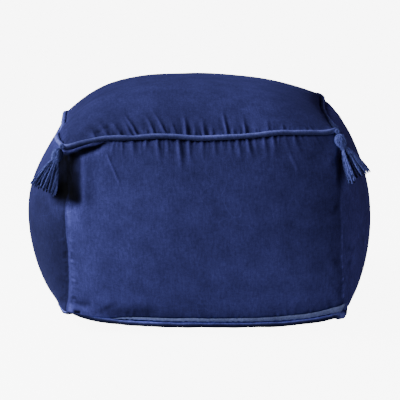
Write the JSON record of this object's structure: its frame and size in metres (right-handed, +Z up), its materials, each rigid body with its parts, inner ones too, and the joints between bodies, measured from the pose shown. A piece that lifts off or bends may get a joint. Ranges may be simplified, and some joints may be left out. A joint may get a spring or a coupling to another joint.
{
  "type": "velvet pouf",
  "caption": "Square overfilled floor pouf in velvet, with corded top and bottom seams, gathers along the top seam and a tassel on each top corner.",
  "frame": {"origin": "on the floor, under the middle of the whole pouf with its tassels", "axes": "+Z up, the front with the folded lip faces -Y, +X to the right seen from the front"},
  "size_m": [0.5124, 0.5086, 0.3436],
  "materials": {
    "velvet": "matt cotton velvet, navy blue",
    "cord_velvet": "cord covered in bias-cut velvet, navy blue",
    "yarn": "soft cotton yarn, navy blue"
  },
  "bodies": {
    "root": {"body": "velvet", "top_cord": "cord_velvet", "bottom_cord": "cord_velvet", "closure_lip": "velvet", "loop_front_left": "yarn", "head_front_left": "yarn", "binding_front_left": "yarn", "skirt_front_left": "yarn", "loop_front_right": "yarn", "head_front_right": "yarn", "binding_front_right": "yarn", "skirt_front_right": "yarn", "loop_back_right": "yarn", "head_back_right": "yarn", "binding_back_right": "yarn", "skirt_back_right": "yarn", "loop_back_left": "yarn", "head_back_left": "yarn", "binding_back_left": "yarn", "skirt_back_left": "yarn"}
  },
  "joints": []
}
